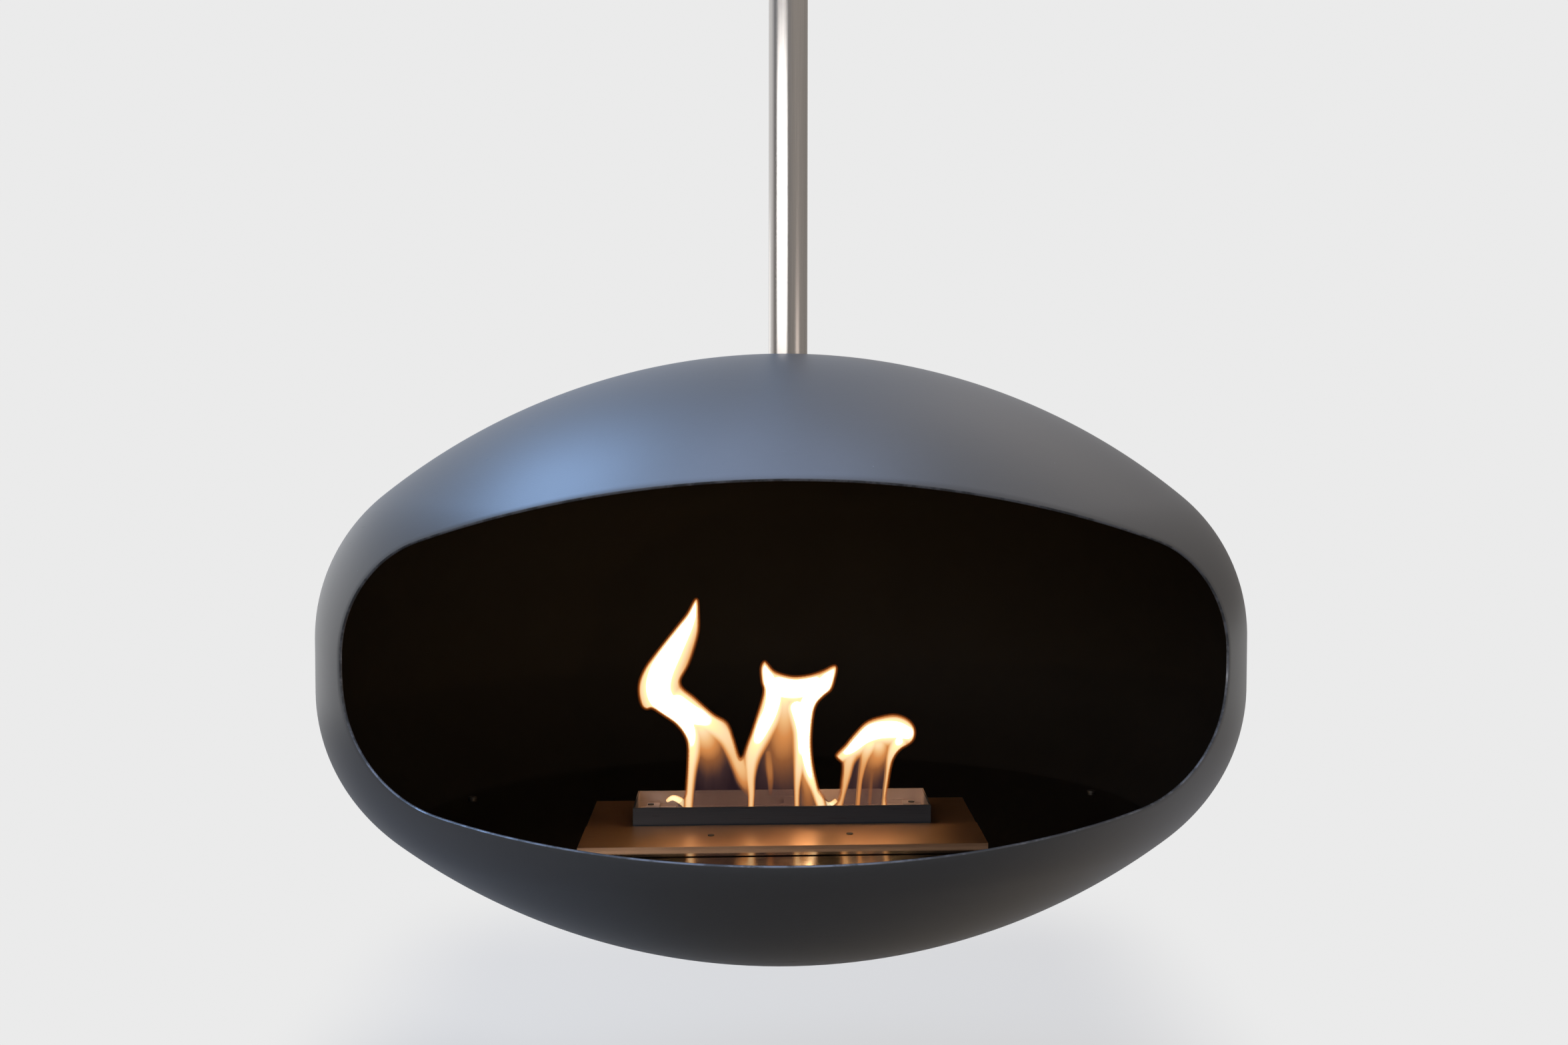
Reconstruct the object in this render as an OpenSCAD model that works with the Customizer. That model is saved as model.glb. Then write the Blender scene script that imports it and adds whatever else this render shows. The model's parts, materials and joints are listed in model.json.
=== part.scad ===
// Hanging fireplace: a round dished steel shell on a swivelling ceiling pole,
// with a wide mouth in its front and a bioethanol burner on a hearth floor inside.
// The origin is the centre of the ceiling plate's top face. Up is +Z, the mouth faces -Y.

/* [Shell] */
// Outer diameter of the shell
shell_d = 1000; // [900:10:1200]
// Height of the straight band round the equator
band_h = 54; // [40:2:70]
// Radius of the knuckle between the band and the crown
knuckle_r = 190; // [180:5:200]
// Radius of the crown
crown_r = 681; // [660:1:700]
// Thickness of the shell's sheet
shell_wall = 3; // [2:0.5:4]

/* [Mouth] */
// Width of the mouth, seen from the front
mouth_w = 872; // [820:2:880]
// Height of the mouth's top edge above the shell's centre
mouth_up = 202; // [180:1:210]
// Depth of the mouth's bottom edge below the shell's centre
mouth_down = 137; // [130:1:145]
// Radius of the mouth's four corners
mouth_corner_r = 125; // [110:1:135]
// Radius of the mouth's top edge
mouth_top_r = 1040; // [1000:10:1400]
// Radius of the mouth's bottom edge
mouth_bottom_r = 2200; // [1800:50:3000]

/* [Pole] */
// Outer diameter of the pole
pole_d = 42.4; // [38:0.2:48.4]
// Wall of the pole's tube
pole_wall = 2; // [1.5:0.1:3]
// Distance from the ceiling to the top of the shell
drop = 1000; // [600:10:2000]

/* [Ceiling fitting] */
// Diameter of the ceiling plate
plate_d = 170; // [164:2:176]
// Thickness of the ceiling plate
plate_t = 8; // [6:1:10]
// Circle through the four anchor holes
anchor_pcd = 142; // [138:1:146]
// Diameter of an anchor hole
anchor_d = 9; // [7:0.5:11]
// Outer diameter of the canopy cup
canopy_d = 186; // [184:2:220]
// Height of the canopy cup
canopy_h = 80; // [79:1:110]

/* [Hearth] */
// Height of the burner plate's top below the shell's centre
hearth_down = 184; // [176:1:184]
// Angle by which the hearth and burner are turned from the mouth
hearth_turn = 0; // [-6:0.5:6]
// Thickness of the hearth floor
floor_t = 3; // [2:0.5:4]
// Radius of the hearth floor
floor_r = 404; // [396:1:406]
// Distance from the pole's axis to the floor's front edge
floor_front = 190; // [186:1:200]
// Width of the air slot in front of the floor
air_slot = 8; // [6:1:12]

/* [Burner] */
// Width of the burner plate
base_w = 422; // [400:2:440]
// Depth of the burner plate
base_depth = 260; // [250:2:264]
// Thickness of the burner plate
base_t = 2; // [1.5:0.5:3]
// Width of the trough
trough_w = 322; // [316:2:330]
// Depth of the trough, front to back
trough_depth = 100; // [98:1:104]
// Height of the trough's walls above the burner plate
trough_h = 20.5; // [18:0.5:24]
// Depth of the fuel tank below the burner plate
tank_h = 60; // [50:2:70]
// Length of the flame slot
slot_w = 262; // [200:2:264]
// Width of the flame slot
slot_depth = 26; // [20:1:27]
// How far the burner stands to the left of the pole's axis
burner_left = 6; // [0:1:8]

/* [Hidden] */

$fn = 96;
fine_fn = 360;     // for circles as large as the shell
eps = 0.01;        // overlap that makes a cut run clean through
run_gap = 0.05;    // radial clearance of a running or screwed fit
far = 4000;        // longer than anything that it has to cut

// Shell
shell_r = shell_d / 2;
band = band_h / 2;
knuckle_x = shell_r - knuckle_r;
crown_z = band - sqrt(pow(crown_r - knuckle_r, 2) - pow(knuckle_x, 2));
tangent_a = atan2(band - crown_z, knuckle_x);
shell_top = crown_z + crown_r;
centre_z = -drop - shell_top;

// Mouth
corner_x = mouth_w / 2 - mouth_corner_r;
top_z = mouth_up - mouth_top_r;
bottom_z = mouth_bottom_r - mouth_down;
upper_corner_z = top_z + sqrt(pow(mouth_top_r - mouth_corner_r, 2) - pow(corner_x, 2));
lower_corner_z = bottom_z - sqrt(pow(mouth_bottom_r - mouth_corner_r, 2) - pow(corner_x, 2));
top_a = atan2(upper_corner_z - top_z, corner_x);
bottom_a = atan2(bottom_z - lower_corner_z, corner_x);
mouth_reach = 150; // how far in front of the axis the mouth's cut stops
long_steps = 20;   // straight steps along the mouth's top and bottom edge
corner_steps = 9;  // straight steps round one of its corners
corner_step = 7;   // degrees in one such step

// Ceiling fitting, from the ceiling down
anchor_count = 4;
bolt_pcd = 100;
bolt_count = 4;
m6_r = 3;
head_r = 5;
head_h = 4;
flange_r = 60;
flange_t = 6;
cup_r = 42;
cup_wall = 6;
cup_bottom = -58;
cup_floor = cup_bottom + cup_wall;
shaft_r = 12;
bush_r = 16;
race_in = 18;
race_out = 34;
race_t = 5;
ball_r = 4;
ball_count = 14;
ball_circle = 26;
groove_depth = 1.5;
ball_z = cup_floor + race_t - groove_depth + ball_r;
upper_race_z = ball_z + ball_r - groove_depth;
head_z = upper_race_z + race_t;
spindle_head_h = 10;
spindle_head_r = 33;
cage_in = 20;
cage_out = 32;
cage_t = 2.6;
lip_z = -70;
lip_t = 3;
pole_top = lip_z - lip_t;
plug_h = 47;
pole_r = pole_d / 2;
pole_in = pole_r - pole_wall;
grub_z = -87;
grub_r = 4;
grub_in = 9;

// Canopy
canopy_r = canopy_d / 2;
canopy_wall = 1.5;
canopy_top = -1;
canopy_edge_r = 10;
canopy_low = canopy_top - canopy_h;
collar_h = 14;
collar_r = 30;
collar_grub_r = 2.5;

// Hub under the dome
hub_r = 55;
hub_h = 60;
hub_bottom = centre_z + shell_top - shell_wall - hub_h;
pole_bottom = hub_bottom - 8;
pole_hole_gap = 0.1;
m10_r = 5;
hub_bolt_z = hub_bottom + 22;
nut_h = 8;
nut_r = 9;
washer_r = 10;
washer_t = 2;

// Hearth floor
floor_z = centre_z - hearth_down - base_t;
ring_t = 6;
ring_in = 366;
ring_out = 430;
floor_screw_circle = 386;
floor_screw_a = [-112, -68, -20, 20, 90, 160, 200];
m5_r = 2.5;
pan_r = 5;
pan_h = 2.5;
cutout_gap = 3;

// Burner
base_z = centre_z - hearth_down;
base_y = -31;
strip_t = 1.5;
strip_gap = 3;
strip_front = base_y - base_depth / 2;
strip_back = -trough_depth / 2 - strip_gap;
strip_screw_x = [-76, 70];
m4_r = 2;
strip_head_r = 3.5;
strip_head_h = 1;
trough_wall = 2;
tank_w = 300;
tank_depth = 84;
tank_wall = 2;
tank_lip = 5;
tank_lip_t = 2;
tank_gap = 0.5;
cover_z = base_z + tank_lip_t;
cover_t = 1.5;
cover_w = trough_w - 2 * trough_wall - 2;
cover_depth = trough_depth - 2 * trough_wall - 2;
slot_y = -12;
pad_gap = 1;
pad_h = 46;
damper_z = cover_z + cover_t;
damper_w = 284;
damper_depth = 36;
damper_t = 1.5;
damper_y = slot_y + slot_depth / 2 + 2;
tab_w = 40;
tab_h = 10;
tab_hole_r = 3;
guide_w = 14;
guide_depth = 80;
guide_h = 5;
guide_bite = 6;
guide_x = damper_w / 2 - guide_bite;
guide_y = -guide_depth / 2 + 2;
guide_screw_y = 28;
slide_gap = 0.1;

// A slice of a disc about c, from angle a0 to angle a1
module sector(c, r, a0, a1) {
    half = (a1 - a0) / 2;
    mid = (a0 + a1) / 2;
    intersection() {
        translate(c) circle(r, $fn = fine_fn);
        translate(c) polygon([
            [0, 0],
            far * [cos(a0), sin(a0)],
            far / cos(half) * [cos(mid), sin(mid)],
            far * [cos(a1), sin(a1)]
        ]);
    }
}

// Half of a dished head's outline, taken in by o: band, knuckle and crown
module head_outline(o) {
    square([shell_r - o, band]);
    sector([knuckle_x, band], knuckle_r - o, 0, tangent_a);
    intersection() {
        sector([0, crown_z], crown_r - o, tangent_a, 90);
        translate([0, band]) square([shell_r, crown_r]);
    }
}

// A spun dished head that stands on the equator
module head_shell() {
    rotate_extrude() difference() {
        head_outline(0);
        head_outline(shell_wall);
    }
}

// Points on an arc about c, from angle a0 to angle a1, in n steps
function arc(c, r, a0, a1, n) = [
    for (i = [0:n]) let (a = a0 + (a1 - a0) * i / n) c + r * [cos(a), sin(a)]
];

// The mouth's outline from the front: two long arcs and four corner arcs
module mouth_outline() polygon(concat(
    arc([0, top_z], mouth_top_r, top_a, 180 - top_a, long_steps),
    arc([-corner_x, upper_corner_z], mouth_corner_r, 180 - top_a + corner_step, 180, corner_steps),
    arc([-corner_x, lower_corner_z], mouth_corner_r, 180, 180 + bottom_a - corner_step, corner_steps),
    arc([0, bottom_z], mouth_bottom_r, 270 - (90 - bottom_a), 270 + (90 - bottom_a), long_steps),
    arc([corner_x, lower_corner_z], mouth_corner_r, corner_step - bottom_a, 0, corner_steps),
    arc([corner_x, upper_corner_z], mouth_corner_r, 0, top_a - corner_step, corner_steps)
));

// The mouth as a straight cut through the front wall
module mouth_cut() {
    translate([0, -mouth_reach, 0]) rotate([90, 0, 0]) linear_extrude(shell_r) mouth_outline();
}

// A vertical cylinder from z0 up to z1
module rod(r, z0, z1) {
    translate([0, 0, z0]) cylinder(r = r, h = z1 - z0);
}

// A flat ring from z0 up to z1
module ring(r_in, r_out, z0, z1) {
    difference() {
        rod(r_out, z0, z1);
        rod(r_in, z0 - 1, z1 + 1);
    }
}

// A block centred on x and given by its front, its back and its heights
module slab(w, y0, y1, z0, z1) {
    translate([-w / 2, y0, z0]) cube([w, y1 - y0, z1 - z0]);
}

// A lying cylinder along +X from x0 to x1
module lying_rod(r, x0, x1, z) {
    translate([x0, 0, z]) rotate([0, 90, 0]) cylinder(r = r, h = x1 - x0);
}

// The same shape at equal steps round the axis
module round_copies(n, r, a0 = 0) {
    for (i = [0:n - 1]) rotate([0, 0, a0 + i * 360 / n]) translate([r, 0, 0]) children();
}

// Turns the hearth from the mouth
module on_hearth() {
    rotate([0, 0, hearth_turn]) children();
}

// The burner's own place on the hearth
module at_burner() {
    on_hearth() translate([-burner_left, 0, 0]) children();
}

// Steel plate screwed to the ceiling
module ceiling_plate() color("lightgray") difference() {
    rod(plate_d / 2, -plate_t, 0);
    round_copies(anchor_count, anchor_pcd / 2, 45) rod(anchor_d / 2, -plate_t - 1, 1);
    round_copies(bolt_count, bolt_pcd / 2) rod(m6_r, -plate_t - 1, 1);
}

// Flanged cup that holds the swivel bearing
module bearing_housing() color("silver") difference() {
    union() {
        rod(flange_r, -plate_t - flange_t, -plate_t);
        rod(cup_r, cup_bottom, -plate_t - flange_t + eps);
    }
    rod(cup_r - cup_wall, cup_floor, -plate_t + 1);
    rod(bush_r, cup_bottom - 1, cup_floor + 1);
    round_copies(bolt_count, bolt_pcd / 2) rod(m6_r + run_gap, -plate_t - flange_t - 1, -plate_t + 1);
}

// Four bolts that hold the housing to the plate
module housing_bolts() color("dimgray") round_copies(bolt_count, bolt_pcd / 2) {
    rod(m6_r - run_gap, -plate_t - flange_t - eps, -1);
    rod(head_r, -plate_t - flange_t - head_h, -plate_t - flange_t);
}

// Bronze bush that centres the spindle
module bushing() color("goldenrod") ring(shaft_r + run_gap, bush_r, cup_bottom, cup_floor);

// Ring cut for the balls: the groove's circle lies at the balls' height
module groove() {
    rotate_extrude() translate([ball_circle, ball_z]) circle(ball_r + run_gap);
}

// Race that lies in the housing
module lower_race() color("silver") difference() {
    ring(race_in, race_out, cup_floor, cup_floor + race_t);
    groove();
}

// Balls of the thrust bearing
module bearing_balls() color("white") round_copies(ball_count, ball_circle) {
    translate([0, 0, ball_z]) sphere(ball_r);
}

// Cage that spaces the balls
module bearing_cage() color("goldenrod") difference() {
    ring(cage_in, cage_out, ball_z - cage_t / 2, ball_z + cage_t / 2);
    round_copies(ball_count, ball_circle) rod(ball_r + run_gap, ball_z - cage_t, ball_z + cage_t);
}

// Race under the spindle's head
module upper_race() color("silver") difference() {
    ring(race_in, race_out, upper_race_z, head_z);
    groove();
}

// Spindle: head on the bearing, shaft through the bush, plug in the pole
module spindle() color("silver") difference() {
    union() {
        rod(spindle_head_r, head_z, head_z + spindle_head_h);
        rod(shaft_r, lip_z - eps, head_z + eps);
        rod(pole_r, pole_top, lip_z);
        rod(pole_in - run_gap, pole_top - plug_h, pole_top + eps);
    }
    for (s = [0, 180]) rotate([0, 0, s]) lying_rod(grub_r, grub_in, far, grub_z);
}

// Two set screws, flush with the pole, that lock it to the spindle
module spindle_screws() color("dimgray") for (s = [0, 180]) {
    rotate([0, 0, s]) lying_rod(grub_r - run_gap, grub_in, pole_r - 0.6, grub_z);
}

// Stainless tube from the spindle to the hub in the dome
module pole() color("silver") difference() {
    ring(pole_in, pole_r, pole_bottom, pole_top);
    for (s = [0, 180]) rotate([0, 0, s]) lying_rod(grub_r, 0, pole_r + 1, grub_z);
    lying_rod(m10_r + run_gap, -pole_r - 1, pole_r + 1, hub_bolt_z);
}

// Outline of the canopy's cup, taken in by o
module canopy_outline(o) {
    translate([0, canopy_low + o]) square([canopy_r - canopy_edge_r, canopy_h]);
    translate([0, canopy_low + canopy_edge_r]) square([canopy_r - o, canopy_h - canopy_edge_r]);
    translate([canopy_r - canopy_edge_r, canopy_low + canopy_edge_r]) circle(canopy_edge_r - o);
}

// Cup that hides the ceiling fitting and slides down the pole
module canopy() color("dimgray") rotate_extrude() difference() {
    intersection() {
        canopy_outline(0);
        translate([0, canopy_low]) square([canopy_r, canopy_h]);
    }
    canopy_outline(canopy_wall);
    translate([0, canopy_low - 1]) square([pole_r + 1, canopy_h]);
}

// Collar under the canopy
module canopy_collar() color("dimgray") difference() {
    ring(pole_r + run_gap, collar_r, canopy_low - collar_h, canopy_low);
    rotate([0, 0, 90]) lying_rod(collar_grub_r, 0, collar_r + 1, canopy_low - collar_h / 2);
}

// Set screw that grips the pole
module canopy_screw() color("silver") rotate([0, 0, 90]) {
    lying_rod(collar_grub_r - run_gap, pole_r + 2 * run_gap, collar_r - 1, canopy_low - collar_h / 2);
}

// Upper dished head, with the mouth's upper part cut out
module upper_dome() color([0.30, 0.31, 0.33]) translate([0, 0, centre_z]) difference() {
    head_shell();
    mouth_cut();
    rod(pole_r + pole_hole_gap, shell_top - hub_h, shell_top + 1);
}

// Lower dished head, with the mouth's lower part cut out
module lower_bowl() color([0.28, 0.29, 0.31]) translate([0, 0, centre_z]) difference() {
    mirror([0, 0, 1]) head_shell();
    mouth_cut();
}

// Hub welded under the dome: its top follows the crown
module dome_hub() color("gray") difference() {
    translate([0, 0, centre_z]) rotate_extrude() intersection() {
        translate([0, hub_bottom - centre_z]) square([hub_r, 2 * hub_h]);
        translate([0, crown_z]) circle(crown_r - shell_wall, $fn = fine_fn);
    }
    rod(pole_r + run_gap, hub_bottom - 1, centre_z + shell_top + 1);
    lying_rod(m10_r + run_gap, -hub_r - 1, hub_r + 1, hub_bolt_z);
}

// Cross bolt through the hub and the pole
module hub_bolt() color("dimgray") {
    lying_rod(m10_r, -hub_r - eps, hub_r + washer_t + nut_h + 4, hub_bolt_z);
    lying_rod(nut_r, -hub_r - nut_h, -hub_r, hub_bolt_z);
}

// Washer and nut on the cross bolt
module hub_nut() color("silver") difference() {
    union() {
        lying_rod(washer_r, hub_r, hub_r + washer_t, hub_bolt_z);
        lying_rod(nut_r, hub_r + washer_t - eps, hub_r + washer_t + nut_h, hub_bolt_z);
    }
    lying_rod(m10_r + run_gap, hub_r - 1, hub_r + washer_t + nut_h + 1, hub_bolt_z);
}

// Screws of the hearth floor, at their places
module at_floor_screws(angles) {
    for (a = angles) rotate([0, 0, a]) translate([floor_screw_circle, 0, 0]) children();
}

// Ring welded in the bowl: its rim follows the bowl's inside
module support_ring() color("dimgray") difference() {
    translate([0, 0, centre_z]) rotate_extrude() intersection() {
        translate([ring_in, -hearth_down - base_t - floor_t - ring_t]) square([ring_out - ring_in, ring_t]);
        translate([0, -crown_z]) circle(crown_r - shell_wall, $fn = fine_fn);
    }
    on_hearth() at_floor_screws(floor_screw_a) rod(m5_r, floor_z - floor_t - ring_t - 1, floor_z);
}

// Floor disc behind the air slot, with the cut-out for the tank
module hearth_floor() color("darkgray") on_hearth() difference() {
    intersection() {
        rod(floor_r, floor_z - floor_t, floor_z);
        translate([-far / 2, -floor_front, floor_z - floor_t]) cube([far, far, floor_t]);
    }
    translate([-burner_left, 0, 0])
        slab(tank_w + 2 * cutout_gap, -tank_depth / 2 - cutout_gap, tank_depth / 2 + cutout_gap,
            floor_z - floor_t - 1, floor_z + 1);
    at_floor_screws(floor_screw_a) rod(m5_r + run_gap, floor_z - floor_t - 1, floor_z + 1);
}

// Floor segment in front of the air slot
module hearth_front() color("darkgray") on_hearth() difference() {
    intersection() {
        rod(floor_r, floor_z - floor_t, floor_z);
        translate([-far / 2, -floor_front - air_slot - far, floor_z - floor_t]) cube([far, far, floor_t]);
    }
    at_floor_screws(floor_screw_a) rod(m5_r + run_gap, floor_z - floor_t - 1, floor_z + 1);
}

// Screws that hold both floor pieces to the ring
module floor_screws() color("dimgray") on_hearth() at_floor_screws(floor_screw_a) {
    rod(m5_r - run_gap, floor_z - floor_t - ring_t - 3, floor_z + eps);
    rod(pan_r, floor_z, floor_z + pan_h);
}

// Both screws of the front strip, at their places
module at_strip_screws() {
    for (x = strip_screw_x) translate([x, (strip_front + strip_back) / 2, 0]) children();
}

// Plate that carries the burner, with the cut-out for the tank
module burner_plate() color("rosybrown") at_burner() difference() {
    slab(base_w, base_y - base_depth / 2, base_y + base_depth / 2, base_z - base_t, base_z);
    slab(tank_w + 2 * tank_gap, -tank_depth / 2 - tank_gap, tank_depth / 2 + tank_gap,
        base_z - base_t - 1, base_z + 1);
    at_strip_screws() rod(m4_r, base_z - base_t - 1, base_z + 1);
}

// Cover strip along the front of the burner plate
module front_strip() color("tan") at_burner() difference() {
    slab(base_w, strip_front, strip_back, base_z, base_z + strip_t);
    at_strip_screws() rod(m4_r + run_gap, base_z - 1, base_z + strip_t + 1);
}

// Two pan-head screws in the front strip
module strip_screws() color("dimgray") at_burner() at_strip_screws() {
    rod(m4_r - run_gap, base_z - base_t, base_z + strip_t + eps);
    rod(strip_head_r, base_z + strip_t, base_z + strip_t + strip_head_h);
}

// Four upright walls round the flames
module trough() color("slategray") at_burner() difference() {
    slab(trough_w, -trough_depth / 2, trough_depth / 2, base_z, base_z + trough_h);
    slab(trough_w - 2 * trough_wall, -trough_depth / 2 + trough_wall, trough_depth / 2 - trough_wall,
        base_z - 1, base_z + trough_h + 1);
}

// Fuel tank that hangs through the plate and the floor by its lip
module fuel_tank() color("silver") at_burner() difference() {
    union() {
        slab(tank_w, -tank_depth / 2, tank_depth / 2, base_z - tank_h, base_z + eps);
        slab(tank_w + 2 * tank_lip, -tank_depth / 2 - tank_lip, tank_depth / 2 + tank_lip,
            base_z, base_z + tank_lip_t);
    }
    slab(tank_w - 2 * tank_wall, -tank_depth / 2 + tank_wall, tank_depth / 2 - tank_wall,
        base_z - tank_h + tank_wall, base_z + tank_lip_t + 1);
}

// Ceramic wool that soaks up the fuel
module ceramic_pad() color("ivory") at_burner() slab(
    tank_w - 2 * tank_wall - 2 * pad_gap, -tank_depth / 2 + tank_wall + pad_gap,
    tank_depth / 2 - tank_wall - pad_gap, base_z - tank_h + tank_wall,
    base_z - tank_h + tank_wall + pad_h);

// Screws of the damper's guides, at their places
module at_guide_screws() {
    for (s = [-1, 1]) for (y = [-guide_screw_y, guide_screw_y]) {
        translate([s * (guide_x + guide_bite + (guide_w - guide_bite) / 2), guide_y + guide_depth / 2 + y, 0])
            children();
    }
}

// Cover over the tank, with the slot that the flames come out of
module burner_cover() color("gray") at_burner() difference() {
    slab(cover_w, -cover_depth / 2, cover_depth / 2, cover_z, cover_z + cover_t);
    slab(slot_w, slot_y - slot_depth / 2, slot_y + slot_depth / 2, cover_z - 1, cover_z + cover_t + 1);
    at_guide_screws() rod(m4_r, cover_z - 1, cover_z + cover_t + 1);
}

// Grooved guide for one end of the damper, on the +X side
module guide() {
    difference() {
        translate([guide_x, guide_y, damper_z]) cube([guide_w, guide_depth, guide_h]);
        translate([guide_x - 1, guide_y - 1, damper_z - 1])
            cube([guide_bite + 1 + slide_gap, guide_depth + 2, 1 + damper_t + slide_gap]);
        at_guide_screws() rod(m4_r + run_gap, damper_z - 1, damper_z + guide_h + 1);
    }
}

module guide_right() color("gray") at_burner() guide();

module guide_left() color("gray") at_burner() mirror([1, 0, 0]) guide();

// Four screws that hold the guides to the cover
module guide_screws() color("dimgray") at_burner() at_guide_screws() {
    rod(m4_r - run_gap, cover_z, damper_z + guide_h + eps);
    rod(strip_head_r, damper_z + guide_h, damper_z + guide_h + strip_head_h);
}

// Sliding damper, open: it lies behind the slot and is pulled over it
module damper() color("silver") at_burner() {
    slab(damper_w, damper_y, damper_y + damper_depth, damper_z, damper_z + damper_t);
}

// Upright tab of the damper, with a hole for a hook
module damper_tab() color("silver") at_burner() difference() {
    slab(tab_w, damper_y + damper_depth - damper_t, damper_y + damper_depth,
        damper_z + damper_t, damper_z + damper_t + tab_h);
    translate([0, damper_y + damper_depth + 1, damper_z + damper_t + tab_h / 2])
        rotate([90, 0, 0]) cylinder(r = tab_hole_r, h = damper_t + 2);
}

ceiling_plate();
bearing_housing();
housing_bolts();
bushing();
lower_race();
bearing_balls();
bearing_cage();
upper_race();
spindle();
spindle_screws();
pole();
canopy();
canopy_collar();
canopy_screw();
upper_dome();
lower_bowl();
dome_hub();
hub_bolt();
hub_nut();
support_ring();
hearth_floor();
hearth_front();
floor_screws();
burner_plate();
front_strip();
strip_screws();
trough();
fuel_tank();
ceramic_pad();
burner_cover();
guide_left();
guide_right();
guide_screws();
damper();
damper_tab();
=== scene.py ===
# Looks of the hanging fireplace: painted shell, brushed pole, hearth, burner and its flames.
import json
import math

import bmesh
import bpy
import numpy
from mathutils import Matrix, Quaternion, Vector


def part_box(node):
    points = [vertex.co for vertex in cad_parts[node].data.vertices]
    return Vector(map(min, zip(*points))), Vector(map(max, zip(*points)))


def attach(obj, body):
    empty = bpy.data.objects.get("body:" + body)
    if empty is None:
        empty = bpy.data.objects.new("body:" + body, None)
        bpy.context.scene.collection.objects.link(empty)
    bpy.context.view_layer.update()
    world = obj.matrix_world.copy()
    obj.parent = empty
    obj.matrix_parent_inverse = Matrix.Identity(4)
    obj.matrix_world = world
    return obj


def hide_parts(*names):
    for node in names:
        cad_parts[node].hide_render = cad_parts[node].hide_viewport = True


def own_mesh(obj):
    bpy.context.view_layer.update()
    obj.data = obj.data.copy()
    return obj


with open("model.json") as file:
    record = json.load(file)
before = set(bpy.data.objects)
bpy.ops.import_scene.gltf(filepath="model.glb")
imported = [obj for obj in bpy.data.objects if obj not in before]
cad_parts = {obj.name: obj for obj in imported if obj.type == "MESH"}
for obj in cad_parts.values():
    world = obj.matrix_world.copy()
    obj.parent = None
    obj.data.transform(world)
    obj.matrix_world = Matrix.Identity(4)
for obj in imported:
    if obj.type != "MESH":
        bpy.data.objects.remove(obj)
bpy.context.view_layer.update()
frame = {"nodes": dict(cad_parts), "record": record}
nodes = frame["nodes"]
bpy.ops.object.select_all(action="DESELECT")

domeLow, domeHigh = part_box("upper_dome")
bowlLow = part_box("lower_bowl")[0]
shellCentre = (bowlLow.z + domeHigh.z) / 2
shellRadius = (domeHigh.x - domeLow.x) / 2
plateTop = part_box("burner_plate")[1].z
print("frame loaded, shell centre at", round(shellCentre, 4))


# One output of a shader node. Python's operators on it add Math nodes.
class Wire:
    def __init__(self, finish, socket):
        self.finish = finish
        self.socket = socket

    # Another output of the same node
    def sibling(self, name):
        return Wire(self.finish, self.socket.node.outputs[name])

    def __add__(self, other):
        return self.finish.maths("ADD", self, other)

    def __sub__(self, other):
        return self.finish.maths("SUBTRACT", self, other)

    def __rsub__(self, other):
        return self.finish.maths("SUBTRACT", other, self)

    def __mul__(self, other):
        return self.finish.maths("MULTIPLY", self, other)

    __radd__ = __add__
    __rmul__ = __mul__


# A node tree that is being filled: a material's or the world's
class Finish:
    def __init__(self, tree):
        self.tree = tree
        tree.nodes.clear()

    # Adds a node: its settings first, then the values or links of its sockets
    def node(self, kind, settings=None, sockets=None, output=0):
        made = self.tree.nodes.new(kind)
        for name, value in (settings or {}).items():
            if name == "stops":
                self.fillRamp(made.color_ramp, value)
            else:
                setattr(made, name, value)
        for name, value in (sockets or {}).items():
            if isinstance(value, Wire):
                self.tree.links.new(value.socket, made.inputs[name])
            else:
                made.inputs[name].default_value = value
        return Wire(self, made.outputs[output]) if made.outputs else None

    def fillRamp(self, ramp, stops):
        while len(ramp.elements) < len(stops):
            ramp.elements.new(0.5)
        for element, (position, colour) in zip(ramp.elements, stops):
            element.position = position
            element.color = (*colour, 1)

    def maths(self, operation, a, b=0.0):
        return self.node("ShaderNodeMath", {"operation": operation}, {0: a, 1: b})

    # 0 below the low value, 1 above the high one
    def step(self, value, low, high):
        return self.node("ShaderNodeMapRange", {"interpolation_type": "SMOOTHSTEP"},
                         {"Value": value, "From Min": low, "From Max": high})

    def blend(self, mask, a, b):
        a, b = [(*c, 1) if isinstance(c, tuple) else c for c in (a, b)]
        return self.node("ShaderNodeMix", {"data_type": "RGBA"}, {0: mask, 6: a, 7: b}, output=2)

    def ramp(self, value, stops):
        return self.node("ShaderNodeValToRGB", {"stops": stops}, {"Fac": value})

    # The object's own coordinates, turned about Z and stretched
    def place(self, turn=0.0, scale=(1, 1, 1)):
        where = self.node("ShaderNodeTexCoord", output="Object")
        return self.node("ShaderNodeMapping", None,
                         {"Vector": where, "Rotation": (0, 0, turn), "Scale": scale})

    def axes(self, vector):
        split = self.node("ShaderNodeSeparateXYZ", None, {"Vector": vector})
        return [split.sibling(name) for name in "XYZ"]

    def noise(self, where, scale, detail=2.0, roughness=0.5):
        return self.node("ShaderNodeTexNoise", None,
                         {"Vector": where, "Scale": scale, "Detail": detail, "Roughness": roughness})

    def bump(self, height, distance, strength=1.0):
        return self.node("ShaderNodeBump", None,
                         {"Height": height, "Distance": distance, "Strength": strength})

    def surface(self, **sockets):
        names = {name.replace("_", " "): value for name, value in sockets.items()}
        for name, value in names.items():
            if isinstance(value, tuple):
                names[name] = (*value, 1)
        shader = self.node("ShaderNodeBsdfPrincipled", None, names)
        self.node("ShaderNodeOutputMaterial", None, {"Surface": shader})


def newMaterial(name):
    material = bpy.data.materials.new(name)
    material.use_nodes = True
    return material, Finish(material.node_tree)


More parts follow.
